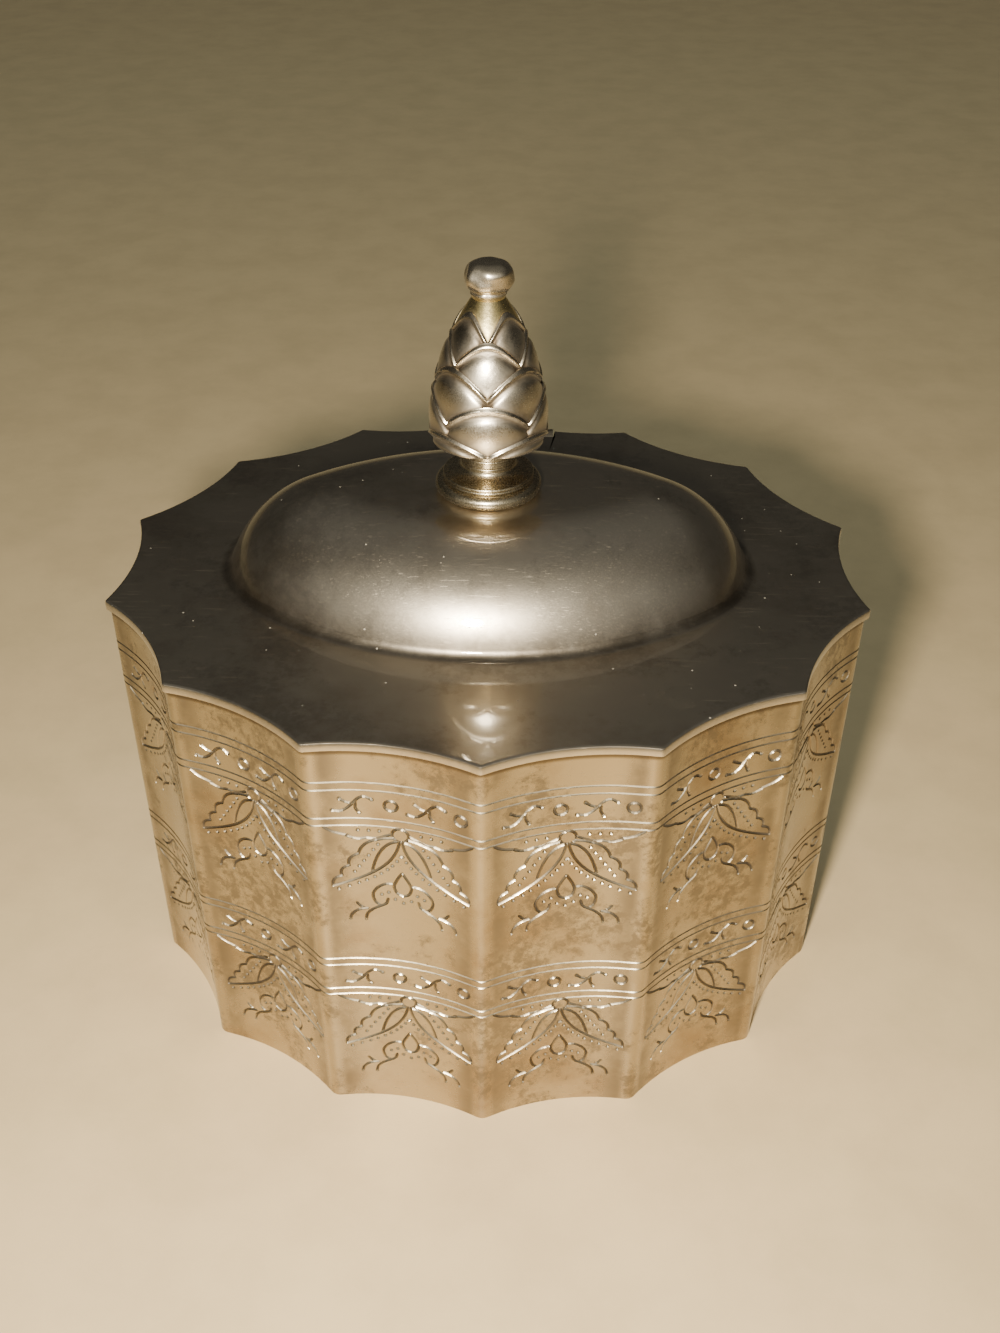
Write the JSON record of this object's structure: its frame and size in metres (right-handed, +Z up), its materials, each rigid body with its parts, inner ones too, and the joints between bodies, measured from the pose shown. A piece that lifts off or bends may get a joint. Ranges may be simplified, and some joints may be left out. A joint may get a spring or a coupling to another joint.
{
  "type": "lidded box",
  "caption": "Oval fluted table box in plated metal, with a hinged domed lid that is lifted by a scaled bud finial.",
  "frame": {"origin": "middle of the underside, on the table", "axes": "+X along the length, +Y to the back with the hinge, +Z up through the finial"},
  "size_m": [0.1006, 0.0865, 0.1069],
  "materials": {
    "silver_plate": "polished silver plate with fine scratches and a warm tarnish",
    "cast_silver": "silver plate on a casting, darker in the recesses",
    "fixing_brass": "plain turned brass",
    "pin_steel": "drawn steel wire"
  },
  "bodies": {
    "box_body": {"body_wall": "silver_plate", "base_plate": "silver_plate", "hinge_body_leaf": "silver_plate", "hinge_pin": "pin_steel"},
    "lid_body": {"lid": "silver_plate", "hinge_lid_leaf": "silver_plate", "finial_pedestal": "cast_silver", "finial": "cast_silver", "finial_stud": "fixing_brass", "finial_washer": "fixing_brass", "finial_nut": "fixing_brass"}
  },
  "joints": [
    {"name": "lid_hinge", "type": "hinge", "parent": "box_body", "child": "lid_body", "pos_m": [0, 0.04014, 0.0624], "axis": [-1, 0, 0], "range_deg": [0, 105]}
  ]
}
